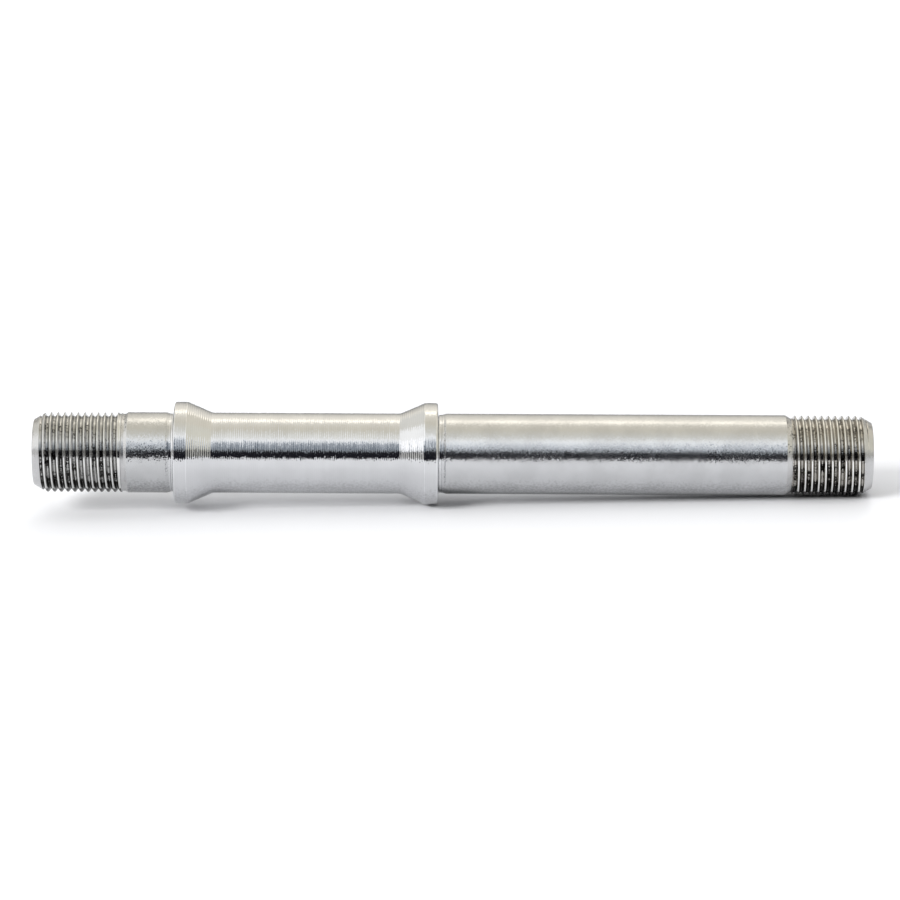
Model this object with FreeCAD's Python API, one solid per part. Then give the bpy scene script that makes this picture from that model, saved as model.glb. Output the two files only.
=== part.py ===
import FreeCAD, Part
import math
import os

# Bicycle rear axle, turned from one steel bar and drilled through for the quick-release rod.
# It stands on its short, non-drive end: +Z runs along the axis towards the long, drive end,
# and the origin is the centre of the short end face.

# Driving dimensions, in millimetres and degrees

# Across the axis
SEAT_D = 12.0                  # both bearing seats
SHOULDER_HEIGHT = 1.6          # how far the collars stand above the seats, for the bearings to stop against
WAIST_D = 12.0                 # between the collars
SKEWER_BORE_D = 5.5            # clears a 5 mm quick-release rod
THREAD_CLEARANCE = 0.05        # crests below the seats, so that a bearing passes over the thread
END_CHAMFER_DEPTH = 1.05       # from the crests in to the edge of the end face

# Along the axis
SHORT_THREAD_LENGTH = 13.1     # short end face to the end of the crests
SHORT_SEAT_LENGTH = 7.85       # end of the crests to collar, with neck, lead chamfer and undercut
COLLAR_LENGTH = 2.0            # both collars, from the face that a bearing stops against to the taper
SHOULDER_SPACING = 39.25       # between those two faces
LONG_SEAT_LENGTH = 52.85       # collar to the end of the crests, with undercut, lead chamfer and neck
LONG_THREAD_LENGTH = 11.65     # end of the crests to long end face

# Cones, measured from the axis
COLLAR_TAPER_ANGLE = 23.5      # waist to collar
END_CHAMFER_ANGLE = 30.0       # end face to crests
SEAT_LEAD_ANGLE = 30.0         # neck to seat, to guide a bearing on
NECK_WALL_ANGLE = 60.0         # crests to neck

# Necks between thread and seat
SHORT_NECK_DEPTH = 0.2         # below the crests
SHORT_NECK_LENGTH = 0.4        # along the floor
LONG_NECK_DEPTH = 0.45
LONG_NECK_LENGTH = 0.1

# Undercut that lets a bearing's inner ring seat square against the collar
UNDERCUT_DEPTH = 0.17
UNDERCUT_LENGTH = 1.15         # with its run-in
UNDERCUT_RUN_IN = 0.45         # slope from seat to undercut

# Edges
COLLAR_EDGE_ROUND = 0.35
COLLAR_TAPER_ROUND = 0.3
WAIST_ROUND = 1.0
UNDERCUT_ROOT_ROUND = 0.25
END_EDGE_ROUND = 0.15
BORE_CHAMFER = 0.4

# Radii and stations, worked out from the dimensions
SEAT_R = SEAT_D / 2
SHOULDER_R = SEAT_R + SHOULDER_HEIGHT
WAIST_R = WAIST_D / 2
CREST_R = SEAT_R - THREAD_CLEARANCE
END_R = CREST_R - END_CHAMFER_DEPTH
BORE_R = SKEWER_BORE_D / 2
BORE_MOUTH_R = BORE_R + BORE_CHAMFER

Z_SHORT_CRESTS = SHORT_THREAD_LENGTH
Z_SHORT_SHOULDER = Z_SHORT_CRESTS + SHORT_SEAT_LENGTH
Z_LONG_SHOULDER = Z_SHORT_SHOULDER + SHOULDER_SPACING
Z_LONG_CRESTS = Z_LONG_SHOULDER + LONG_SEAT_LENGTH
Z_LONG_END = Z_LONG_CRESTS + LONG_THREAD_LENGTH

SHARP = 0.0                    # a corner with no round


def cone_run(rise, angle):
    """Length along the axis of a cone that rises by rise at angle degrees from the axis."""
    return rise / math.tan(math.radians(angle))


def neck(z_crests, depth, length, inward):
    """Corners from the crests over the neck to the seat. inward is the way towards the seat, 1 or -1 along Z."""
    floor_r = CREST_R - depth
    wall_run = cone_run(depth, NECK_WALL_ANGLE)
    lead_run = cone_run(SEAT_R - floor_r, SEAT_LEAD_ANGLE)
    return [
        (CREST_R, z_crests, SHARP),
        (floor_r, z_crests + inward * wall_run, SHARP),
        (floor_r, z_crests + inward * (wall_run + length), SHARP),
        (SEAT_R, z_crests + inward * (wall_run + length + lead_run), SHARP),
    ]


def collar(z_face, inward):
    """Corners from a seat over its undercut and collar down to the waist. inward is the way towards the waist."""
    undercut_r = SEAT_R - UNDERCUT_DEPTH
    taper_run = cone_run(SHOULDER_R - WAIST_R, COLLAR_TAPER_ANGLE)
    return [
        (SEAT_R, z_face - inward * UNDERCUT_LENGTH, SHARP),
        (undercut_r, z_face - inward * (UNDERCUT_LENGTH - UNDERCUT_RUN_IN), SHARP),
        (undercut_r, z_face, UNDERCUT_ROOT_ROUND),
        (SHOULDER_R, z_face, COLLAR_EDGE_ROUND),
        (SHOULDER_R, z_face + inward * COLLAR_LENGTH, COLLAR_TAPER_ROUND),
        (WAIST_R, z_face + inward * (COLLAR_LENGTH + taper_run), WAIST_ROUND),
    ]


def end(z_face, inward):
    """Corners from a bore's mouth over an end face and up its chamfer. inward is the way into the axle."""
    return [
        (BORE_R, z_face + inward * BORE_CHAMFER, SHARP),
        (BORE_MOUTH_R, z_face, SHARP),
        (END_R, z_face, END_EDGE_ROUND),
        (CREST_R, z_face + inward * cone_run(END_CHAMFER_DEPTH, END_CHAMFER_ANGLE), SHARP),
    ]


def half_section():
    """Corners (radius, height, round) of half the section: out of the bore at the short end, along and back in."""
    short_half = [
        *end(0.0, 1),
        *neck(Z_SHORT_CRESTS, SHORT_NECK_DEPTH, SHORT_NECK_LENGTH, 1),
        *collar(Z_SHORT_SHOULDER, 1),
    ]
    long_half = [
        *end(Z_LONG_END, -1),
        *neck(Z_LONG_CRESTS, LONG_NECK_DEPTH, LONG_NECK_LENGTH, -1),
        *collar(Z_LONG_SHOULDER, -1),
    ]
    return short_half + long_half[::-1]


def rounded_wire(corners):
    """Closed wire through the corners, each rounded by a tangent arc of its own radius."""
    points = [FreeCAD.Vector(r, 0, z) for r, z, _ in corners]
    starts, ends, arcs = [], [], []
    for i, (_, _, radius) in enumerate(corners):
        corner = points[i]
        back = (points[i - 1] - corner).normalize()
        ahead = (points[(i + 1) % len(points)] - corner).normalize()
        half = back.getAngle(ahead) / 2
        reach = radius / math.tan(half)
        starts.append(corner + back * reach)
        ends.append(corner + ahead * reach)
        middle = corner + (back + ahead).normalize() * (radius / math.sin(half) - radius)
        arcs.append(Part.Arc(starts[i], middle, ends[i]).toShape() if radius else None)
    edges = []
    for i, arc in enumerate(arcs):
        if arc:
            edges.append(arc)
        edges.append(Part.LineSegment(ends[i], starts[(i + 1) % len(starts)]).toShape())
    return Part.Wire(edges)


def turned_axle():
    """The half section turned once about the axis."""
    section = Part.Face(rounded_wire(half_section()))
    return section.revolve(FreeCAD.Vector(0, 0, 0), FreeCAD.Vector(0, 0, 1), 360)


def main():
    axle = turned_axle()
    os.makedirs("parts", exist_ok=True)
    axle.exportStep("parts/rear_axle.step")
    print("solids", len(axle.Solids), "valid", axle.isValid(), "volume", round(axle.Volume, 1))
    print("length", round(Z_LONG_END, 2), "collar diameter", round(2 * SHOULDER_R, 2))


main()
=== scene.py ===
"""Looks of a bicycle rear axle: one turned steel piece with cut threads, lying across the picture.

The axle stands on its short end in the row's frame, with +Z along its axis. The camera is laid on its side
and the table stands beside the axle, so that the picture shows it lying with its long end to the right.
"""

import logging
import math
from dataclasses import dataclass
from enum import Enum, IntEnum

import bpy
import numpy as np
from mathutils import Matrix, Vector


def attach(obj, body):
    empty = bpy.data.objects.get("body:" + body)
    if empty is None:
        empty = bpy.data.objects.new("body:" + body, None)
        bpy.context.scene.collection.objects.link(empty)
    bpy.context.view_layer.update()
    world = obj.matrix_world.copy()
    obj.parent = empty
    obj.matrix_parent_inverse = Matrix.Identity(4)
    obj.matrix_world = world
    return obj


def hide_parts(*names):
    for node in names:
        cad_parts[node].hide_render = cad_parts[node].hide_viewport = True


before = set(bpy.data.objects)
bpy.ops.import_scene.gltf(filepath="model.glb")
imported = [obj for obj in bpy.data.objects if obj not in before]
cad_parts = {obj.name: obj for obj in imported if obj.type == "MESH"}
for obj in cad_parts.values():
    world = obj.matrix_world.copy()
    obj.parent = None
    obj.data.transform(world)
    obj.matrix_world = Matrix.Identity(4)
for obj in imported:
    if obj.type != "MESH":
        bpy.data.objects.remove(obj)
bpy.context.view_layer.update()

MM = 0.001
Colour = tuple[float, float, float]
Source = bpy.types.NodeSocket | float | Colour
Sockets = dict[str, bpy.types.NodeSocket]

# What lies on the steel, what shows where it is worn, and the painted shade and highlight on it
SPECK_COLOUR: Colour = (0.10, 0.10, 0.11)
# Painted shade on the underside, where the surface turns to the table
STAIN_COLOUR: Colour = (0.07, 0.07, 0.075)
# Black of oil spots, and of painted shade towards the bottom of the threads
OIL_COLOUR: Colour = (0.012, 0.011, 0.010)
# Bright crests: wear, with a painted highlight on the lower side
WORN_CREST_COLOUR: Colour = (0.88, 0.88, 0.87)

# How far a finish varies, as a share of its own colour or roughness, and what oil and painted shade add to
# roughness
UNEVEN_SHADE = 0.92
WORN_SHINE = 1.2
ROUGHNESS_SPREAD = 0.1
OIL_ROUGHNESS = 0.15


class Surface(IntEnum):
    """Surfaces of the axle that are finished in different ways, in the order of its material slots."""

    GROUND = 0
    # The short seat: darker than the ground finish as painted shade, with the most painted shade below
    STAINED = 1
    TURNED = 2
    TAPERED = 3
    SHORT_THREAD = 4
    LONG_THREAD = 5
    FACED = 6
    CHAMFERED = 7
    DRILLED = 8


class Feed(Enum):
    """Which way the tool travelled as it left its lines."""

    ALONG = "along the axis"
    ACROSS = "across an end face"


def smooth_floor(value: np.ndarray, width: float) -> np.ndarray:
    """Value where it is above zero and zero below, joined by a hyperbola of a width.

    Args:
        value: Numbers of either sign.
        width: How far the bend reaches to each side of zero.

    Returns:
        Half of value plus the root of value squared plus width squared.
    """
    return 0.5 * (value + np.sqrt(value * value + width * width))


def smooth_step(value: np.ndarray, low: float, high: float) -> np.ndarray:
    """Rises from 0 at low to 1 at high along 3 t squared less 2 t cubed.

    Args:
        value: Numbers to place between low and high.
        low: Where the rise starts.
        high: Where it ends; it may lie below low, and then the step falls.

    Returns:
        The step, from 0 to 1.
    """
    t = np.clip((value - low) / (high - low), 0.0, 1.0)
    return t * t * (3.0 - 2.0 * t)


class Bench:
    """A node tree on the bench: adds nodes to it and joins their sockets."""

    def __init__(self, tree: bpy.types.NodeTree) -> None:
        """Takes the tree that nodes are added to."""
        self.tree = tree

    def node(self, kind: str, **settings: object) -> bpy.types.Node:
        """Adds a node.

        Args:
            kind: Blender's name of the node's type.
            **settings: Properties to set on it.

        Returns:
            The new node.
        """
        made = self.tree.nodes.new(kind)
        for name, value in settings.items():
            setattr(made, name, value)
        return made

    def put(self, target: bpy.types.NodeSocket, source: Source) -> None:
        """Joins a socket to another one, or sets it to a number or a colour.

        Args:
            target: The socket that is fed.
            source: A socket, a number or a colour of three numbers.
        """
        if isinstance(source, bpy.types.NodeSocket):
            self.tree.links.new(source, target)
        elif isinstance(source, tuple) and target.type == "RGBA":
            target.default_value = (*source, 1.0)
        else:
            target.default_value = source

    def math(self, operation: str, first: Source, second: Source = 0.0) -> bpy.types.NodeSocket:
        """One operation on two numbers.

        Args:
            operation: Blender's name of the operation.
            first: The first number.
            second: The second number.

        Returns:
            The result's socket.
        """
        made = self.node("ShaderNodeMath", operation=operation)
        self.put(made.inputs[0], first)
        self.put(made.inputs[1], second)
        return made.outputs[0]

    def fit(
        self, value: Source, low: Source, high: Source, start: float = 0.0, end: float = 1.0
    ) -> bpy.types.NodeSocket:
        """Places a number between two others with a smooth step.

        Args:
            value: The number.
            low: Where the step starts.
            high: Where it ends.
            start: What it gives up to low.
            end: What it gives from high on.

        Returns:
            The result's socket.
        """
        made = self.node("ShaderNodeMapRange", interpolation_type="SMOOTHSTEP")
        for target, source in zip(made.inputs[:5], (value, low, high, start, end)):
            self.put(target, source)
        return made.outputs[0]

    def mix(self, factor: Source, first: Source, second: Source) -> bpy.types.NodeSocket:
        """A colour between two colours.

        Args:
            factor: 0 for the first colour, 1 for the second.
            first: The first colour.
            second: The second colour.

        Returns:
            The mixed colour's socket.
        """
        made = self.node("ShaderNodeMix", data_type="RGBA")
        self.put(made.inputs[0], factor)
        self.put(made.inputs[6], first)
        self.put(made.inputs[7], second)
        return made.outputs[2]

    def group(self, tree: bpy.types.NodeTree, **values: Source) -> Sockets:
        """Places a shared effect.

        Args:
            tree: The effect's group.
            **values: What its inputs are fed with, by name.

        Returns:
            Its outputs by name.
        """
        made = self.node("ShaderNodeGroup", node_tree=tree)
        for name, value in values.items():
            self.put(made.inputs[name], value)
        return {socket.name: socket for socket in made.outputs}

    def bump(self, height: Source, depth: float, normal: Source | None = None) -> bpy.types.NodeSocket:
        """Raises a relief from a height.

        Args:
            height: The height, of which 1 is as much as depth.
            depth: Metres.
            normal: A normal that the relief is laid over.

        Returns:
            The new normal's socket.
        """
        made = self.node("ShaderNodeBump")
        made.inputs["Distance"].default_value = depth
        self.put(made.inputs["Height"], height)
        if normal is not None:
            self.put(made.inputs["Normal"], normal)
        return made.outputs["Normal"]

    def ripple(self, along: Source, scale: float, detail: float = 0.0) -> bpy.types.NodeSocket:
        """Noise along one number.

        Args:
            along: The number.
            scale: Lumps for each one of it.
            detail: How many finer layers it has.

        Returns:
            The noise's socket, from 0 to 1.
        """
        made = self.node("ShaderNodeTexNoise", noise_dimensions="1D")
        self.put(made.inputs["W"], along)
        self.put(made.inputs["Scale"], scale)
        self.put(made.inputs["Detail"], detail)
        return made.outputs["Fac"]

    def axes(self) -> Sockets:
        """The point on the piece as its X, Y and Z, in metres in the row's frame."""
        made = self.node("ShaderNodeSeparateXYZ")
        self.put(made.inputs[0], self.place())
        return {socket.name: socket for socket in made.outputs}

    def noise(self, place: bpy.types.NodeSocket, scale: Source, detail: float = 2.0) -> bpy.types.NodeSocket:
        """Noise through space.

        Args:
            place: Where it is read.
            scale: Lumps per metre.
            detail: How many finer layers it has.

        Returns:
            The noise's socket, from 0 to 1.
        """
        made = self.node("ShaderNodeTexNoise")
        self.put(made.inputs["Vector"], place)
        self.put(made.inputs["Scale"], scale)
        self.put(made.inputs["Detail"], detail)
        return made.outputs["Fac"]

    def place(self) -> bpy.types.NodeSocket:
        """The point on the piece, in metres in the row's frame."""
        return self.node("ShaderNodeTexCoord").outputs["Object"]

    def attribute(self, name: str) -> bpy.types.NodeSocket:
        """A number stored on the piece's points."""
        return self.node("ShaderNodeAttribute", attribute_name=name).outputs["Fac"]


class Effects:
    """Effects that more than one finish uses, each a node group that is built once."""

    def __init__(self) -> None:
        """Builds the groups."""
        self.lathe_lines = self._lathe_lines()
        self.satin_grain = self._satin_grain()
        self.specks = self._specks()
        self.edge_wear = self._edge_wear()
        self.grime = self._grime()
        self.stain = self._stain()

    @staticmethod
    def _group(
        name: str, inputs: dict[str, float], outputs: list[str]
    ) -> tuple[bpy.types.NodeTree, Bench, Sockets, Sockets]:
        """A new group whose sockets are numbers, apart from a normal.

        Args:
            name: The group's name.
            inputs: Each input's name and its usual value.
            outputs: The outputs' names.

        Returns:
            The group, a bench for it, and its inner sockets by name: those it reads and those it feeds.
        """
        tree = bpy.data.node_groups.new(name, "ShaderNodeTree")
        for label, value in inputs.items():
            socket = tree.interface.new_socket(label, in_out="INPUT", socket_type="NodeSocketFloat")
            socket.default_value = value
        for label in outputs:
            kind = "NodeSocketVector" if label == "Normal" else "NodeSocketFloat"
            tree.interface.new_socket(label, in_out="OUTPUT", socket_type=kind)
        bench = Bench(tree)
        given = {s.name: s for s in bench.node("NodeGroupInput").outputs}
        wanted = {s.name: s for s in bench.node("NodeGroupOutput").inputs}
        return tree, bench, given, wanted

    def _lathe_lines(self) -> bpy.types.NodeTree:
        """Lines of a turning tool.

        They are a wave of one feed to a line, whose depth varies from line to line, with finer noise over it.
        """
        inputs = {"Travel": 0.0, "Feed": 0.0003}
        tree, bench, given, wanted = self._group("lathe_lines", inputs, ["Height", "Tone"])
        wander = bench.math("MULTIPLY", bench.noise(bench.place(), 300.0), 0.15)
        lines = bench.math("ADD", bench.math("DIVIDE", given["Travel"], given["Feed"]), wander)
        wave = bench.math("SINE", bench.math("MULTIPLY", lines, 2.0 * math.pi))
        streaks = bench.fit(bench.ripple(lines, 0.13, 2.0), 0.35, 0.65, 0.2, 0.8)
        bench.put(wanted["Tone"], bench.math("ADD", streaks, bench.math("MULTIPLY", wave, 0.2)))
        wave = bench.math("MULTIPLY", wave, bench.fit(bench.ripple(lines, 0.8), 0.3, 0.7, 0.34, 0.46))
        fine = bench.math("MULTIPLY", bench.ripple(lines, 2.1, 1.0), 0.25)
        bench.put(wanted["Height"], bench.math("ADD", wave, fine))
        return tree

    def _satin_grain(self) -> bpy.types.NodeTree:
        """Fine grain of a bare face: small cells that each tilt their own way, and a slow unevenness of tone.

        A cell leans by four times the cube of a random number from -0.5 to 0.5, so most lean a little and a
        few lean far.
        """
        inputs = {"Grain": 0.0002, "Tilt": 0.1}
        tree, bench, given, wanted = self._group("satin_grain", inputs, ["Normal", "Tone"])
        place = bench.place()
        cells = bench.node("ShaderNodeTexVoronoi")
        bench.put(cells.inputs["Vector"], place)
        bench.put(cells.inputs["Scale"], bench.math("DIVIDE", 1.0, given["Grain"]))
        lean = bench.node("ShaderNodeVectorMath", operation="SUBTRACT")
        bench.put(lean.inputs[0], cells.outputs["Color"])
        lean.inputs[1].default_value = (0.5, 0.5, 0.5)
        square = bench.node("ShaderNodeVectorMath", operation="MULTIPLY")
        cube = bench.node("ShaderNodeVectorMath", operation="MULTIPLY")
        for power, before in ((square, lean), (cube, square)):
            bench.put(power.inputs[0], before.outputs[0])
            bench.put(power.inputs[1], lean.outputs[0])
        tilted = bench.node("ShaderNodeVectorMath", operation="SCALE")
        bench.put(tilted.inputs[0], cube.outputs[0])
        bench.put(tilted.inputs["Scale"], bench.math("MULTIPLY", given["Tilt"], 4.0))
        facing = bench.node("ShaderNodeVectorMath", operation="ADD")
        bench.put(facing.inputs[0], bench.node("ShaderNodeNewGeometry").outputs["Normal"])
        bench.put(facing.inputs[1], tilted.outputs[0])
        unit = bench.node("ShaderNodeVectorMath", operation="NORMALIZE")
        bench.put(unit.inputs[0], facing.outputs[0])
        bench.put(wanted["Normal"], unit.outputs[0])
        bench.put(wanted["Tone"], bench.fit(bench.noise(place, 260.0, 3.0), 0.35, 0.65))
        return tree

    def _specks(self) -> bpy.types.NodeTree:
        """A few dark specks along one side: where fine noise passes a level that falls in patches."""
        tree, bench, given, wanted = self._group("specks", {"Amount": 0.5}, ["Specks"])
        place = bench.place()
        side = bench.fit(bench.axes()["X"], 0.0008, -0.0004)
        patches = bench.math("MULTIPLY", bench.fit(bench.noise(place, 140.0, 1.0), 0.48, 0.62), side)
        fall = bench.math("MULTIPLY", bench.math("MULTIPLY", patches, given["Amount"]), 0.15)
        level = bench.math("SUBTRACT", 0.80, fall)
        spots = bench.noise(place, 3400.0, 2.0)
        bench.put(wanted["Specks"], bench.fit(spots, level, bench.math("ADD", level, 0.05)))
        return tree

    def _edge_wear(self) -> bpy.types.NodeTree:
        """Bright wear along outer edges, broken up by noise."""
        tree, bench, given, wanted = self._group("edge_wear", {"Edge": 0.0}, ["Wear"])
        worn = bench.fit(bench.noise(bench.place(), 900.0, 2.0), 0.3, 0.6, 0.35, 1.0)
        bench.put(wanted["Wear"], bench.math("MULTIPLY", given["Edge"], worn))
        return tree

    def _grime(self) -> bpy.types.NodeTree:
        """Dirt and painted shade in a thread's grooves, and wear and a painted highlight on its crests.

        A dark film, partly dirt and partly painted shade, lies on the flanks. It is rubbed thin along the
        root, and thickens into painted shade towards the side that the axle lies on. Black covers what noise
        leaves above a level, which falls in patches of oil spots and, as painted shade, towards the bottom
        and on the lowest tips. The crests are painted brighter on that lower side: wear, with a painted
        highlight.
        """
        inputs = {"Hollow": 0.0, "Film": 0.5, "Oil": 0.5, "Worn": 0.5}
        tree, bench, given, wanted = self._group("grime", inputs, ["Film", "Oil", "Crest"])
        place = bench.place()
        at = bench.axes()
        down = at["X"]
        # Painted shade: the film thickens towards the side that the axle lies on
        lying = bench.fit(down, -0.0015, 0.002, 0.7, 1.0)
        root = bench.fit(given["Hollow"], 0.75, 0.97, 1.0, 0.25)
        flank = bench.math("MULTIPLY", bench.fit(given["Hollow"], 0.12, 0.4), root)
        film = bench.math("MULTIPLY", flank, lying)
        bench.put(wanted["Film"], bench.math("MULTIPLY", film, given["Film"]))
        in_groove = bench.fit(given["Hollow"], 0.2, 0.6)
        # Painted shade: black on the crest tips at the very bottom, where the axle comes near the table
        on_tips = bench.fit(down, 0.0051, 0.0058, 0.0, 0.75)
        reached = bench.math("MAXIMUM", in_groove, on_tips)
        # Oil spots in patches, more on the lower side, where the extra black is painted shade
        patches = bench.fit(bench.noise(place, 420.0, 2.0), 0.36, 0.64, 0.06, 0.26)
        patches = bench.math("MULTIPLY", patches, bench.fit(down, -0.002, 0.002, 0.6, 1.0))
        # Painted shade: black that gathers towards the bottom, less towards +Y
        pooled = bench.fit(down, 0.0041, 0.0056, 0.0, 0.6)
        pooled = bench.math("MULTIPLY", pooled, bench.fit(at["Y"], 0.0003, 0.0025, 1.0, 0.3))
        pull = bench.math("MULTIPLY", bench.math("ADD", patches, pooled), reached)
        level = bench.math("SUBTRACT", 0.74, bench.math("MULTIPLY", pull, given["Oil"]))
        spots = bench.noise(place, 4600.0, 2.5)
        bench.put(wanted["Oil"], bench.fit(spots, level, bench.math("ADD", level, 0.04)))
        # Painted highlight with wear: the crests are brighter on the lower side
        crest = bench.fit(given["Hollow"], 0.02, 0.16, 1.0, 0.0)
        crest = bench.math("MULTIPLY", crest, bench.fit(down, -0.0002, 0.0016))
        bench.put(wanted["Crest"], bench.math("MULTIPLY", crest, given["Worn"]))
        return tree

    def _stain(self) -> bpy.types.NodeTree:
        """Painted shade, mottled by noise, that deepens as the surface turns to the side that the axle lies
        on.
        """
        tree, bench, given, wanted = self._group("stain", {"Amount": 0.5}, ["Stain"])
        facing = bench.node("ShaderNodeSeparateXYZ")
        bench.put(facing.inputs[0], bench.node("ShaderNodeTexCoord").outputs["Normal"])
        about_zero = bench.math("SUBTRACT", bench.noise(bench.place(), 2800.0, 3.0), 0.5)
        mottle = bench.math("MULTIPLY", about_zero, 0.6)
        turned = bench.fit(bench.math("ADD", facing.outputs["X"], mottle), 0.62, 1.08)
        bench.put(wanted["Stain"], bench.math("MULTIPLY", turned, given["Amount"]))
        return tree


@dataclass(frozen=True)
class SteelFinish:
    """Bare steel as one tool leaves it.

    Attributes:
        name: The material's name.
        colour: What the steel reflects, head on.
        roughness: How matt it is.
        lines: Depth of the lathe lines, in metres.
        line_gap: Metres between lathe lines.
        feed: Which way the lathe lines follow one another.
        grain: How far the satin grain tilts, where 1 is a slope of up to a half.
        grain_size: Metres across a grain.
        stretch: How far reflections are drawn out along the axis.
        specks: How many dark specks there are.
        stain: How dark the painted shade on its underside is.
        film: How thick the dark film in the grooves is, dirt that thickens into painted shade below.
        film_colour: The film's colour.
        oil: How much black the grooves hold: spots of oil, and painted shade towards the bottom.
        crest: How bright the lower crests are painted: wear and a painted highlight.
    """

    name: str
    colour: Colour
    roughness: float
    lines: float = 0.0
    line_gap: float = 0.00031
    feed: Feed = Feed.ALONG
    grain: float = 0.03
    grain_size: float = 0.00018
    stretch: float = 0.0
    specks: float = 0.0
    stain: float = 0.0
    film: float = 0.0
    film_colour: Colour = (0.08, 0.078, 0.075)
    oil: float = 0.0
    crest: float = 0.0

    def material(self, effects: Effects) -> bpy.types.Material:
        """The finish as a material.

        Args:
            effects: The shared node groups.

        Returns:
            A new material.
        """
        made = bpy.data.materials.new(self.name)
        made.use_nodes = True
        bench = Bench(made.node_tree)
        steel = made.node_tree.nodes["Principled BSDF"]
        steel.inputs["Metallic"].default_value = 1.0
        steel.inputs["Anisotropic"].default_value = self.stretch
        steel.inputs["Anisotropic Rotation"].default_value = 0.25
        tangent = bench.node("ShaderNodeTangent", direction_type="RADIAL", axis="Z")
        bench.put(steel.inputs["Tangent"], tangent.outputs[0])
        grain = bench.group(effects.satin_grain, Grain=self.grain_size, Tilt=self.grain)
        uneven = grain["Tone"]
        normal = grain["Normal"]
        if self.lines:
            lines = bench.group(effects.lathe_lines, Travel=self.travel(bench), Feed=self.line_gap)
            normal = bench.bump(lines["Height"], self.lines, normal)
            uneven = bench.math("MULTIPLY", bench.math("ADD", uneven, lines["Tone"]), 0.5)
        bench.put(steel.inputs["Normal"], normal)
        tint = bench.mix(uneven, self.colour, tuple(UNEVEN_SHADE * part for part in self.colour))
        wear = bench.group(effects.edge_wear, Edge=bench.attribute("edge"))
        tint = bench.mix(wear["Wear"], tint, tuple(WORN_SHINE * part for part in self.colour))
        spread = ROUGHNESS_SPREAD * self.roughness
        rough = bench.fit(grain["Tone"], 0.0, 1.0, self.roughness - spread, self.roughness + spread)
        if self.specks:
            specks = bench.group(effects.specks, Amount=self.specks)
            tint = bench.mix(specks["Specks"], tint, SPECK_COLOUR)
        # Painted shade on the underside, darker as the surface turns to the table
        if self.stain:
            stain = bench.group(effects.stain, Amount=self.stain)
            tint = bench.mix(stain["Stain"], tint, STAIN_COLOUR)
        # Dirt and painted shade in the grooves, black spots and painted shade below, a painted highlight on
        # the lower crests
        if self.film:
            groove = bench.attribute("groove")
            dirt = bench.group(effects.grime, Hollow=groove, Film=self.film, Oil=self.oil, Worn=self.crest)
            tint = bench.mix(dirt["Crest"], tint, WORN_CREST_COLOUR)
            tint = bench.mix(dirt["Film"], tint, self.film_colour)
            tint = bench.mix(dirt["Oil"], tint, OIL_COLOUR)
            rough = bench.math("ADD", rough, bench.math("MULTIPLY", dirt["Oil"], OIL_ROUGHNESS))
        bench.put(steel.inputs["Base Color"], tint)
        bench.put(steel.inputs["Roughness"], rough)
        return made

    def travel(self, bench: Bench) -> bpy.types.NodeSocket:
        """How far the tool had gone where it cut a point.

        Args:
            bench: The material's bench.

        Returns:
            Z along the axis, or the distance from the axis on an end face, in metres.
        """
        at = bench.axes()
        if self.feed is Feed.ALONG:
            return at["Z"]
        squares = [bench.math("MULTIPLY", at[name], at[name]) for name in "XY"]
        return bench.math("SQRT", bench.math("ADD", *squares))


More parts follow.
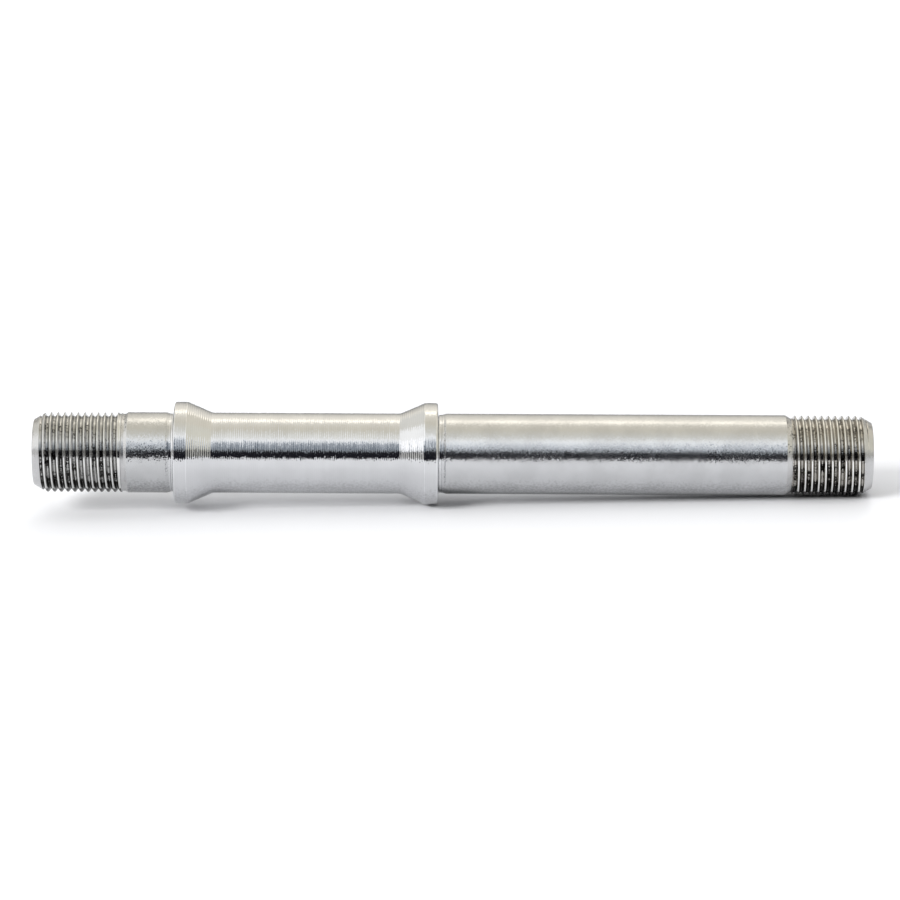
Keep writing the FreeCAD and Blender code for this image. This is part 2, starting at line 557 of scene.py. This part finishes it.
@dataclass
class TurnedAxle:
    """The whole axle, turned from one bar. Lengths are in millimetres and angles in degrees."""

    # Radii
    seat_r: float = 6.0
    shoulder_r: float = 7.596
    waist_r: float = 6.0
    crest_r: float = 5.95
    end_r: float = 4.9
    bore_r: float = 2.75
    bore_mouth_r: float = 3.15

    # Heights along the axis, from the short end face
    z_short_crests: float = 13.1
    z_short_shoulder: float = 20.95
    z_long_shoulder: float = 60.2
    z_long_crests: float = 113.05
    z_long_end: float = 124.7

    # Collars, cones, necks and undercuts
    collar: float = 2.0
    taper_angle: float = 23.5
    lead_angle: float = 30.0
    neck_wall_angle: float = 60.0
    short_neck_depth: float = 0.2
    short_neck_length: float = 0.4
    long_neck_depth: float = 0.45
    long_neck_length: float = 0.1
    undercut_depth: float = 0.17
    undercut_length: float = 1.15
    undercut_run_in: float = 0.45

    # Rounds
    run_in_round: float = 2.0
    collar_round: float = 0.35
    taper_round: float = 0.3
    waist_round: float = 1.0
    root_round: float = 0.25
    end_round: float = 0.15
    edge_break: float = 0.04

    # Threads: form, start of a crest, and the run-out from the end of the crests to the full depth
    pitch: float = 1.0
    flank_angle: float = 30.0
    thread_depth: float = 0.61
    crest_flat: float = 0.16
    crest_bend: float = 0.06
    root_bend: float = 0.05
    root_filled: float = 0.2
    filled_from: float = 0.75
    short_start: float = 0.06
    long_start: float = 0.74
    short_run_out: tuple[float, float] = (0.2, -0.7)
    long_run_out: tuple[float, float] = (-0.45, -0.1)
    long_neck_span: tuple[float, float] = (-0.36, 0.1)

    # How far a thread's cut and its close rows reach past the crests, and stay away from end face and bore
    cut_past: float = 0.5
    cut_inset: float = 0.2
    rows_past: float = 0.3
    rows_inset: float = 0.25
    bore_margin: float = 0.5

    # Where a groove counts as cut, and a surface as lying below the crests
    cut_fade: float = 0.08
    least_hollow: float = 0.02
    least_drop: float = 0.005

    # Mesh
    hold: float = 0.05
    columns: int = 96
    rows_per_pitch: int = 27
    arc_rows: int = 6

    @staticmethod
    def run(rise: float, angle: float) -> float:
        """Length along the axis of a cone that rises by rise at an angle from the axis."""
        return rise / math.tan(math.radians(angle))

    def half(self, z_end: float, z_crests: float, z_face: float, neck: tuple[float, float]) -> np.ndarray:
        """Corners of half the section, from the bore's mouth over thread, seat and collar to the waist.

        Args:
            z_end: Height of the end face.
            z_crests: Height where the crests stop at the neck.
            z_face: Height of the collar's square face.
            neck: The neck's depth below the crests and the length of its floor.

        Returns:
            Rows of radius, height and round, in the order of the section.
        """
        inward = math.copysign(1.0, z_crests - z_end)
        neck_depth, neck_length = neck
        floor_r = self.crest_r - neck_depth
        cut_r = self.seat_r - self.undercut_depth
        wall = self.run(neck_depth, self.neck_wall_angle)
        lead = self.run(self.seat_r - floor_r, self.lead_angle)
        taper = self.run(self.shoulder_r - self.waist_r, self.taper_angle)
        chamfer = self.run(self.crest_r - self.end_r, self.lead_angle)
        mouth = self.bore_mouth_r - self.bore_r
        broken = self.edge_break
        return np.array(
            [
                (self.bore_r, z_end + inward * mouth, broken),
                (self.bore_mouth_r, z_end, broken),
                (self.end_r, z_end, self.end_round),
                (self.crest_r, z_end + inward * chamfer, broken),
                (self.crest_r, z_crests, broken),
                (floor_r, z_crests + inward * wall, broken),
                (floor_r, z_crests + inward * (wall + neck_length), broken),
                (self.seat_r, z_crests + inward * (wall + neck_length + lead), broken),
                (self.seat_r, z_face - inward * self.undercut_length, broken),
                (cut_r, z_face - inward * (self.undercut_length - self.undercut_run_in), self.run_in_round),
                (cut_r, z_face, self.root_round),
                (self.shoulder_r, z_face, self.collar_round),
                (self.shoulder_r, z_face + inward * self.collar, self.taper_round),
                (self.waist_r, z_face + inward * (self.collar + taper), self.waist_round),
            ]
        )

    def section(self) -> tuple[np.ndarray, np.ndarray]:
        """All corners of the section, and the surface of the run from each one to the next.

        Returns:
            Corners as rows of radius, height and round, out at the short end and back through the bore, and
            the surfaces.
        """
        short_neck = (self.short_neck_depth, self.short_neck_length)
        long_neck = (self.long_neck_depth, self.long_neck_length)
        short = self.half(0.0, self.z_short_crests, self.z_short_shoulder, short_neck)
        long = self.half(self.z_long_end, self.z_long_crests, self.z_long_shoulder, long_neck)
        ends = [Surface.FACED] * 2 + [Surface.CHAMFERED]
        collar = [Surface.TURNED] * 2 + [Surface.TAPERED] * 2
        short_runs = ends + [Surface.SHORT_THREAD] * 3 + [Surface.CHAMFERED] + [Surface.STAINED] * 2 + collar
        long_runs = ends + [Surface.LONG_THREAD] * 3 + [Surface.CHAMFERED] + [Surface.GROUND] * 2 + collar
        runs = short_runs + [Surface.TURNED] + long_runs[::-1] + [Surface.DRILLED]
        return np.vstack([short, long[::-1]]), np.array(runs, int)

    def outline(self) -> tuple[np.ndarray, np.ndarray, np.ndarray]:
        """Points along the section, with each corner swept by a tangent arc.

        With unit vectors b back and a ahead along the runs at a corner, and h half the angle between them, an
        arc of radius q starts q / tan h from the corner. Its centre is q / sin h along b plus a, and its
        points turn evenly from start to end. Two more rows hold the straight run flat close to its ends.

        Returns:
            Points as rows of radius and height, the surface after each one, and how much of an outer edge
            each one is.
        """
        corners, runs = self.section()
        point = corners[:, :2]
        bend = corners[:, 2:]
        back = np.roll(point, 1, axis=0) - point
        ahead = np.roll(point, -1, axis=0) - point
        back /= np.linalg.norm(back, axis=1, keepdims=True)
        ahead /= np.linalg.norm(ahead, axis=1, keepdims=True)
        half = np.arccos(np.sum(back * ahead, axis=1, keepdims=True)) / 2.0
        start = point + back * bend / np.tan(half)
        end = point + ahead * bend / np.tan(half)
        way = back + ahead
        centre = point + way / np.linalg.norm(way, axis=1, keepdims=True) * bend / np.sin(half)
        sweep = (math.pi - 2.0 * half)[:, None, :]
        t = np.linspace(0.0, 1.0, self.arc_rows)[None, :, None]
        from_start = np.sin((1.0 - t) * sweep) * (start - centre)[:, None]
        from_end = np.sin(t * sweep) * (end - centre)[:, None]
        arc = centre[:, None] + (from_start + from_end) / np.sin(sweep)
        straight = np.roll(start, -1, axis=0) - end
        length = np.linalg.norm(straight, axis=1, keepdims=True)
        hold = straight / length * np.minimum(self.hold, length / 4.0)
        rows = np.concatenate([arc, (end + hold)[:, None], (end + straight - hold)[:, None]], axis=1)
        outer = (back[:, 0] * ahead[:, 1] - back[:, 1] * ahead[:, 0]) < 0.0
        edge = np.concatenate([np.sin(np.pi * t[0, :, 0]), [0.0, 0.0]])[None, :] * outer[:, None]
        before = np.roll(runs, 1)[:, None].repeat(self.arc_rows // 2, axis=1)
        after = runs[:, None].repeat(self.arc_rows + 2 - self.arc_rows // 2, axis=1)
        return rows.reshape(-1, 2), np.hstack([before, after]).ravel(), edge.ravel()

    def rows(self) -> tuple[np.ndarray, np.ndarray, np.ndarray]:
        """The outline with close, even rows over both threads.

        Returns:
            Points, surfaces and edges, as outline gives them.
        """
        point, surface, edge = self.outline()
        spans = (
            (self.rows_inset, self.z_short_crests + self.rows_past, Surface.SHORT_THREAD),
            (self.z_long_crests - self.rows_past, self.z_long_end - self.rows_inset, Surface.LONG_THREAD),
        )
        for low, high, kind in spans:
            outside = point[:, 0] > self.bore_mouth_r + self.bore_margin
            inside = outside & (point[:, 1] > low) & (point[:, 1] < high)
            first, last = np.flatnonzero(inside)[[0, -1]]
            z = np.linspace(low, high, int((high - low) / self.pitch * self.rows_per_pitch))
            r = np.interp(z, point[first - 1 : last + 2, 1], point[first - 1 : last + 2, 0])
            point = np.vstack([point[:first], np.column_stack([r, z]), point[last + 1 :]])
            surface = np.concatenate([surface[:first], np.full(len(z), kind), surface[last + 1 :]])
            edge = np.concatenate([edge[:first], np.zeros(len(z)), edge[last + 1 :]])
        return point, surface, edge

    def groove(self, z: np.ndarray, turn: np.ndarray, start: float) -> np.ndarray:
        """Depth of a right-hand thread's groove below its crests.

        The distance w along the axis to the nearest crest, whose height grows by a pitch each turn, gives a
        depth of (w less half the flat) / tan of the flank's angle. Smooth bends hold it between zero and the
        thread's depth.

        Args:
            z: Heights.
            turn: Turns about the axis, 0 to 1.
            start: Height of a crest where the turn is zero.

        Returns:
            Depths.
        """
        phase = (z - start) / self.pitch - turn
        w = np.abs(phase - np.round(phase)) * self.pitch
        flank = (w - self.crest_flat / 2.0) / math.tan(math.radians(self.flank_angle))
        rising = smooth_floor(flank, self.crest_bend)
        rising = rising - rising.min()
        return self.thread_depth - smooth_floor(self.thread_depth - rising, self.root_bend)

    def surface_points(self) -> tuple[np.ndarray, np.ndarray, np.ndarray, np.ndarray]:
        """The axle's surface: the outline turned about the axis, with the threads cut below it.

        Its radius is the lesser of the outline's and the crests' radius less the groove's depth. The groove
        runs out where a thread meets its neck, and oil fills part of it on the side that the axle lies on.

        Returns:
            Points on a grid of rows and columns, and the surface, groove and edge at each point.
        """
        point, surface, edge = self.rows()
        r = point[:, :1]
        z = point[:, 1:]
        turn = np.arange(self.columns)[None, :] / self.columns
        short = self.groove(z, turn, self.short_start)
        long = self.groove(z, turn, self.long_start)
        past_short = z - self.z_short_crests
        past_long = z - self.z_long_crests
        short *= smooth_step(past_short, *self.short_run_out)
        long *= smooth_step(past_long, *self.long_run_out)
        outside = r > self.bore_mouth_r + self.bore_margin
        on_short = outside & (z > self.cut_inset) & (past_short < self.cut_past)
        on_long = outside & (past_long > -self.cut_past) & (z < self.z_long_end - self.cut_inset)
        angle = 2.0 * math.pi * turn
        filled = 1.0 - self.root_filled * smooth_step(np.cos(angle), self.filled_from, 1.0)
        depth = (np.where(on_short, short, 0.0) + np.where(on_long, long, 0.0)) * filled
        radius = np.where(on_short | on_long, np.minimum(r, self.crest_r - depth), r)
        height = np.broadcast_to(z, radius.shape)
        grid = np.stack([radius * np.cos(angle), radius * np.sin(angle), height], axis=-1)
        neck_low, neck_high = self.long_neck_span
        neck = (past_long > neck_low) & (past_long < neck_high)
        below = np.where(on_short | on_long, np.where(neck, self.crest_r, r) - radius, 0.0)
        cut = depth * np.clip((r - radius) / self.cut_fade, 0.0, 1.0)
        hollow = np.clip(np.maximum(below, cut) / self.thread_depth, 0.0, 1.0)
        low = (hollow < self.least_hollow) & (r < self.crest_r - self.least_drop)
        chamfer = (on_short | on_long) & low
        surfaces = np.where(chamfer, Surface.CHAMFERED, surface[:, None])
        return grid * MM, surfaces, hollow, np.broadcast_to(edge[:, None], radius.shape)

    def build(self) -> bpy.types.Object:
        """The axle as one closed mesh.

        The grid closes on itself both ways: round the axis, and from the long end back through the bore.

        Returns:
            The new object.
        """
        grid, surface, hollow, edge = self.surface_points()
        rows, columns = hollow.shape
        index = np.arange(rows * columns).reshape(rows, columns)
        beside = np.roll(index, -1, axis=1)
        above = np.roll(index, -1, axis=0)
        quads = np.stack([index, beside, np.roll(beside, -1, axis=0), above], axis=-1).reshape(-1, 4)
        mesh = bpy.data.meshes.new("axle_steel")
        mesh.vertices.add(rows * columns)
        mesh.vertices.foreach_set("co", grid.astype(np.float32).ravel())
        mesh.loops.add(quads.size)
        mesh.loops.foreach_set("vertex_index", quads.astype(np.int32).ravel())
        mesh.polygons.add(len(quads))
        mesh.polygons.foreach_set("loop_start", np.arange(0, quads.size, 4, dtype=np.int32))
        mesh.polygons.foreach_set("material_index", surface.astype(np.int32).ravel())
        mesh.polygons.foreach_set("use_smooth", np.ones(len(quads), bool))
        for name, values in (("groove", hollow), ("edge", edge)):
            stored = mesh.attributes.new(name, "FLOAT", "POINT")
            stored.data.foreach_set("value", values.astype(np.float32).ravel())
        mesh.update()
        mesh.validate()
        axle = bpy.data.objects.new("axle_steel", mesh)
        bpy.context.scene.collection.objects.link(axle)
        return axle

    def dress(self, axle: bpy.types.Object, effects: Effects) -> None:
        """Gives each surface of the axle its finish.

        Args:
            axle: The built object.
            effects: The shared node groups.
        """
        finishes = {
            Surface.GROUND: SteelFinish(
                "ground_steel",
                (0.555, 0.56, 0.572),
                0.18,
                grain=0.13,
                grain_size=0.00015,
                specks=0.6,
                stain=0.5,
            ),
            # The short seat: a darker copy of the ground finish, its darkness painted shade, with the deepest
            # underside shade
            Surface.STAINED: SteelFinish(
                "stained_steel", (0.52, 0.525, 0.535), 0.16, grain=0.2, grain_size=0.00015, stain=0.65
            ),
            Surface.TURNED: SteelFinish(
                "turned_steel", (0.605, 0.61, 0.625), 0.08, lines=0.000028, grain=0.1, stretch=0.4, stain=0.36
            ),
            Surface.TAPERED: SteelFinish(
                "tapered_steel", (0.605, 0.61, 0.625), 0.1, lines=0.000017, grain=0.1, stretch=0.4, stain=0.36
            ),
            Surface.SHORT_THREAD: SteelFinish(
                "short_thread_steel", (0.60, 0.60, 0.595), 0.1, film=0.45, oil=1.25, crest=0.45, stain=0.45
            ),
            Surface.LONG_THREAD: SteelFinish(
                "long_thread_steel",
                (0.62, 0.61, 0.59),
                0.09,
                film=0.53,
                film_colour=(0.13, 0.10, 0.065),
                oil=1.45,
                crest=1.0,
                stain=0.15,
            ),
            Surface.FACED: SteelFinish(
                "faced_steel", (0.59, 0.59, 0.60), 0.25, lines=0.00001, line_gap=0.00025, feed=Feed.ACROSS
            ),
            Surface.CHAMFERED: SteelFinish(
                "chamfered_steel", (0.52, 0.52, 0.525), 0.26, grain=0.1, specks=1.4
            ),
            Surface.DRILLED: SteelFinish(
                "drilled_steel", (0.45, 0.45, 0.45), 0.35, lines=0.00003, line_gap=0.0004
            ),
        }
        for kind in Surface:
            axle.data.materials.append(finishes[kind].material(effects))
        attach(axle, "root")
        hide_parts("rear_axle")


@dataclass(frozen=True)
class Panel:
    """A soft light panel or a dark flag of the tent, by its bearing from the axle. Angles are in degrees.

    Attributes:
        bearing: Its middle, to the right of the camera's side.
        half_width: How far it reaches to each side of that.
        side_soft: Over which its sides fade.
        low: Height of its foot above the table.
        low_soft: Over which its foot fades in.
        high: Height of its top.
        high_soft: Over which its top fades out.
        glow: Its colour, where 1 is white.
    """

    bearing: float
    half_width: float
    side_soft: float
    low: float
    low_soft: float
    high: float
    high_soft: float
    glow: Colour

    def share(self, bearing: np.ndarray, height: np.ndarray) -> np.ndarray:
        """How much of a direction the panel covers.

        Args:
            bearing: Bearings of the directions.
            height: Their heights above the table.

        Returns:
            The product of smooth steps over its sides, its foot and its top.
        """
        aside = np.abs((bearing - self.bearing + 180.0) % 360.0 - 180.0)
        across = smooth_step(aside, self.half_width + self.side_soft, self.half_width)
        rising = smooth_step(height, self.low, self.low + self.low_soft)
        return across * rising * smooth_step(height, self.high + self.high_soft, self.high)


@dataclass
class Studio:
    """Table, light tent, lamps and camera. Lengths are in metres and angles in degrees."""

    # Camera
    camera_height: float = 16.3
    camera_distance: float = 0.64
    camera_lens: float = 171.7
    camera_roll: float = 0.27
    aim_z: float = 0.06194
    aim_above: float = 0.00055

    # Radius and height of the two places where the axle touches the table
    collar_rest: tuple[float, float] = (0.0076, 0.05985)
    thread_rest: tuple[float, float] = (0.00595, 0.12288)

    # Table, tent and lamps
    table_half: float = 1.4
    table_colour: Colour = (0.85, 0.85, 0.85)
    table_seen: Colour = (0.95, 0.955, 0.97)
    tent_radius: float = 2.2
    tent_low: float = -2.0
    tent_high: float = 89.0
    tent_rows: int = 92
    tent_columns: int = 180
    tent_on_table: float = 0.72
    lamp_distance: float = 1.8
    lamp_width: float = 0.65

    def __post_init__(self) -> None:
        """Works out the table's normal, the way to the camera along it, and the axle's run along it."""
        collar_r, collar_z = self.collar_rest
        thread_r, thread_z = self.thread_rest
        lean = math.atan2(collar_r - thread_r, thread_z - collar_z)
        tip = math.radians(self.camera_height)
        level = math.cos(lean)
        self.up = Vector((-math.cos(tip) * level, -math.sin(tip) * level, -math.sin(lean)))
        front = Vector((math.sin(tip), -math.cos(tip), 0.0))
        self.front = (front - self.up * front.dot(self.up)).normalized()
        self.right = self.front.cross(self.up) * -1.0
        depth = collar_r * level + collar_z * math.sin(lean)
        middle = Vector((0.0, 0.0, self.aim_z))
        self.foot = middle - self.up * (middle.dot(self.up) + depth)

    def table(self) -> bpy.types.Object:
        """The table: a white square under the collar and the long thread's end, seen through from below.

        Returns:
            The new object.
        """
        side = np.array([(-1.0, -1.0), (1.0, -1.0), (1.0, 1.0), (-1.0, 1.0)]) * self.table_half
        across = np.outer(side[:, 0], np.array(self.right)) - np.outer(side[:, 1], np.array(self.front))
        mesh = bpy.data.meshes.new("table")
        mesh.from_pydata((across + np.array(self.foot)).tolist(), [], [(0, 1, 2, 3)])
        made = bpy.data.materials.new("white_table")
        made.use_nodes = True
        nodes = made.node_tree.nodes
        nodes.remove(nodes["Principled BSDF"])
        bench = Bench(made.node_tree)
        path = bench.node("ShaderNodeLightPath")
        seen = bench.math("MAXIMUM", path.outputs["Is Camera Ray"], path.outputs["Is Glossy Ray"])
        seen = bench.math("MAXIMUM", seen, path.outputs["Is Transmission Ray"])
        paint = bench.node("ShaderNodeBsdfDiffuse")
        bench.put(paint.inputs["Color"], bench.mix(seen, self.table_colour, self.table_seen))
        back = bench.node("ShaderNodeMixShader")
        bench.put(back.inputs[0], bench.node("ShaderNodeNewGeometry").outputs["Backfacing"])
        bench.put(back.inputs[1], paint.outputs[0])
        bench.put(back.inputs[2], bench.node("ShaderNodeBsdfTransparent").outputs[0])
        bench.put(nodes["Material Output"].inputs["Surface"], back.outputs[0])
        mesh.materials.append(made)
        table = bpy.data.objects.new("table", mesh)
        bpy.context.scene.collection.objects.link(table)
        return table

    def glow(self, side: np.ndarray, ahead: np.ndarray, rise: np.ndarray) -> np.ndarray:
        """The tent's glow by direction from the axle.

        Round the axle, from the camera's side over the top to the back, it is a dark gap, a cool front panel,
        a warm roof and a bright strip behind. The panels to the sides are laid over that. A stop is an angle
        over the axle with its colour, and a direction's colour lies between those of its two stops.

        Args:
            side: How far a direction goes to the right.
            ahead: How far it goes towards the camera.
            rise: How far it goes up.

        Returns:
            Colours, one row for each direction.
        """
        over = np.degrees(np.arctan2(rise, ahead))
        stops = np.array(
            [
                (0.0, 0.015, 0.015, 0.02),
                (20.0, 0.02, 0.02, 0.025),
                (25.0, 0.45, 0.48, 0.51),
                (32.0, 0.86, 0.91, 0.96),
                (40.0, 1.12, 1.17, 1.22),
                (48.0, 1.43, 1.47, 1.49),
                (54.0, 1.43, 1.44, 1.43),
                (60.0, 1.18, 1.18, 1.13),
                (68.0, 1.03, 1.02, 0.94),
                (78.0, 0.97, 0.94, 0.83),
                (90.0, 0.95, 0.90, 0.76),
                (105.0, 1.07, 1.01, 0.87),
                (113.0, 1.34, 1.27, 1.10),
                (118.0, 1.92, 1.80, 1.57),
                (122.0, 2.15, 2.02, 1.75),
                (127.0, 1.74, 1.64, 1.43),
                (133.0, 1.34, 1.27, 1.11),
                (144.0, 1.20, 1.14, 1.01),
                (156.0, 0.92, 0.88, 0.79),
                (166.0, 0.64, 0.62, 0.57),
                (180.0, 0.42, 0.41, 0.38),
            ]
        )
        base = np.stack([np.interp(over, stops[:, 0], stops[:, k]) for k in (1, 2, 3)], axis=-1)
        bearing = np.degrees(np.arctan2(side, ahead))
        height = np.degrees(np.arcsin(np.clip(rise, -1.0, 1.0)))
        panels = (
            Panel(-24.5, 7.5, 5.0, 20.0, 5.0, 39.0, 14.0, (0.18, 0.22, 0.27)),
            Panel(24.5, 7.5, 5.0, 20.0, 5.0, 39.0, 14.0, (0.18, 0.22, 0.27)),
            Panel(70.0, 26.0, 6.0, -9.0, 3.0, 9.0, 5.0, (0.60, 0.59, 0.55)),
            Panel(-70.0, 26.0, 6.0, -9.0, 3.0, 10.0, 5.0, (0.74, 0.73, 0.71)),
            Panel(115.0, 25.0, 10.0, -9.0, 3.0, 24.0, 8.0, (0.10, 0.10, 0.10)),
            Panel(-120.0, 25.0, 10.0, -9.0, 3.0, 20.0, 8.0, (0.12, 0.12, 0.12)),
            Panel(115.0, 24.0, 10.0, 28.0, 8.0, 62.0, 10.0, (1.02, 0.96, 0.81)),
            Panel(-122.0, 28.0, 10.0, 24.0, 8.0, 62.0, 10.0, (1.06, 1.04, 0.96)),
            Panel(72.0, 24.0, 6.0, 10.0, 5.0, 56.0, 8.0, (1.03, 1.00, 0.86)),
            Panel(-70.0, 24.0, 8.0, 12.0, 8.0, 60.0, 12.0, (1.45, 1.45, 1.42)),
            Panel(-54.0, 9.0, 4.0, 15.0, 4.0, 38.0, 8.0, (1.90, 1.90, 1.92)),
            Panel(180.0, 72.0, 10.0, -9.0, 3.0, 6.0, 5.0, (0.35, 0.35, 0.34)),
        )
        for panel in panels:
            base = base + (np.array(panel.glow) - base) * panel.share(bearing, height)[..., None]
        return base

    def tent(self) -> bpy.types.Object:
        """The light tent: half a sphere over the table that glows inwards and that the camera doesn't see.

        Its points are the radius times a direction, on a grid of bearing and height.

        Returns:
            The new object.
        """
        turn = np.radians(np.arange(self.tent_columns) * 360.0 / self.tent_columns)[None, :]
        tilt = np.radians(np.linspace(self.tent_low, self.tent_high, self.tent_rows))[:, None]
        side = np.cos(tilt) * np.sin(turn)
        ahead = np.cos(tilt) * np.cos(turn)
        rise = np.broadcast_to(np.sin(tilt), side.shape)
        ways = side[..., None] * np.array(self.right) + ahead[..., None] * np.array(self.front)
        ways = ways + rise[..., None] * np.array(self.up)
        points = np.array(self.foot) + self.tent_radius * ways
        index = np.arange(side.size).reshape(side.shape)
        beside = np.roll(index, -1, axis=1)
        quads = np.stack([index[:-1], index[1:], beside[1:], beside[:-1]], axis=-1).reshape(-1, 4)
        mesh = bpy.data.meshes.new("light_tent")
        mesh.from_pydata(points.reshape(-1, 3).tolist(), [], quads.tolist() + [index[-1].tolist()])
        colours = np.concatenate([self.glow(side, ahead, rise), np.ones((*side.shape, 1))], axis=-1)
        stored = mesh.attributes.new("glow", "FLOAT_COLOR", "POINT")
        stored.data.foreach_set("color", colours.astype(np.float32).ravel())
        made = bpy.data.materials.new("tent_cloth")
        made.use_nodes = True
        nodes = made.node_tree.nodes
        nodes.remove(nodes["Principled BSDF"])
        bench = Bench(made.node_tree)
        cloth = bench.node("ShaderNodeEmission")
        full = bench.node("ShaderNodeAttribute", attribute_name="glow").outputs["Color"]
        grey = bench.node("ShaderNodeRGBToBW")
        bench.put(grey.inputs[0], full)
        on_table = bench.node("ShaderNodeLightPath").outputs["Is Diffuse Ray"]
        bench.put(cloth.inputs["Color"], bench.mix(on_table, full, grey.outputs[0]))
        bench.put(cloth.inputs["Strength"], bench.fit(on_table, 0.0, 1.0, 1.0, self.tent_on_table))
        bench.put(nodes["Material Output"].inputs["Surface"], cloth.outputs[0])
        made.cycles.emission_sampling = "NONE"
        mesh.materials.append(made)
        tent = bpy.data.objects.new("light_tent", mesh)
        tent.visible_camera = False
        bpy.context.scene.collection.objects.link(tent)
        return tent

    def lamp(self, name: str, bearing: float, height: float, power: float) -> bpy.types.Object:
        """A soft lamp that lights the table and is left out of reflections.

        Args:
            name: Its name.
            bearing: To the right of the camera's side.
            height: Above the table.
            power: In watts.

        Returns:
            The new object.
        """
        turn = math.radians(bearing)
        tilt = math.radians(height)
        level = self.right * math.sin(turn) + self.front * math.cos(turn)
        way = level * math.cos(tilt) + self.up * math.sin(tilt)
        data = bpy.data.lights.new(name, "AREA")
        data.energy = power
        data.size = self.lamp_width
        lamp = bpy.data.objects.new(name, data)
        place = Matrix.Translation(self.foot + way * self.lamp_distance)
        lamp.matrix_world = place @ way.to_track_quat("Z", "Y").to_matrix().to_4x4()
        lamp.visible_glossy = False
        bpy.context.scene.collection.objects.link(lamp)
        return lamp

    def backdrop(self) -> bpy.types.World:
        """A white world behind the table.

        Returns:
            The new world.
        """
        world = bpy.data.worlds.new("white_backdrop")
        world.use_nodes = True
        sheet = world.node_tree.nodes["Background"]
        sheet.inputs["Color"].default_value = (1.0, 1.0, 1.0, 1.0)
        sheet.inputs["Strength"].default_value = 1.0
        world.cycles.sampling_method = "NONE"
        bpy.context.scene.world = world
        return world

    def camera(self) -> bpy.types.Object:
        """The camera: square to the axis, on its side, so that the axis runs to the right and a little down.

        Returns:
            The new object.
        """
        roll = math.radians(self.camera_roll)
        along = Vector((0.0, 0.0, 1.0))
        upright = Vector((-1.0, 0.0, 0.0))
        right = along * math.cos(roll) + upright * math.sin(roll)
        up = upright * math.cos(roll) - along * math.sin(roll)
        back = right.cross(up)
        data = bpy.data.cameras.new("camera")
        data.lens = self.camera_lens
        data.sensor_width = 36.0
        data.clip_start = 0.01
        data.clip_end = 20.0
        camera = bpy.data.objects.new("camera", data)
        place = along * self.aim_z + up * self.aim_above + back * self.camera_distance
        camera.matrix_world = Matrix.Translation(place) @ Matrix((right, up, back)).transposed().to_4x4()
        bpy.context.scene.collection.objects.link(camera)
        bpy.context.scene.camera = camera
        return camera


def main() -> None:
    """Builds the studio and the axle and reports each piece."""
    logging.basicConfig(level=logging.INFO, format="%(message)s")
    log = logging.getLogger("axle")
    bpy.context.scene.view_settings.view_transform = "Standard"
    studio = Studio()
    lamps = (
        studio.lamp("front_lamp", bearing=-50.0, height=30.0, power=25.0),
        studio.lamp("rear_lamp", bearing=168.0, height=35.0, power=6.0),
    )
    for made in (studio.camera(), studio.table(), studio.tent(), *lamps, studio.backdrop()):
        log.info("studio: %s", made.name)
    axle = TurnedAxle()
    piece = axle.build()
    axle.dress(piece, Effects())
    piece.data.calc_loop_triangles()
    log.info("piece: %s, %d triangles", piece.name, len(piece.data.loop_triangles))


if __name__ == "__main__":
    main()
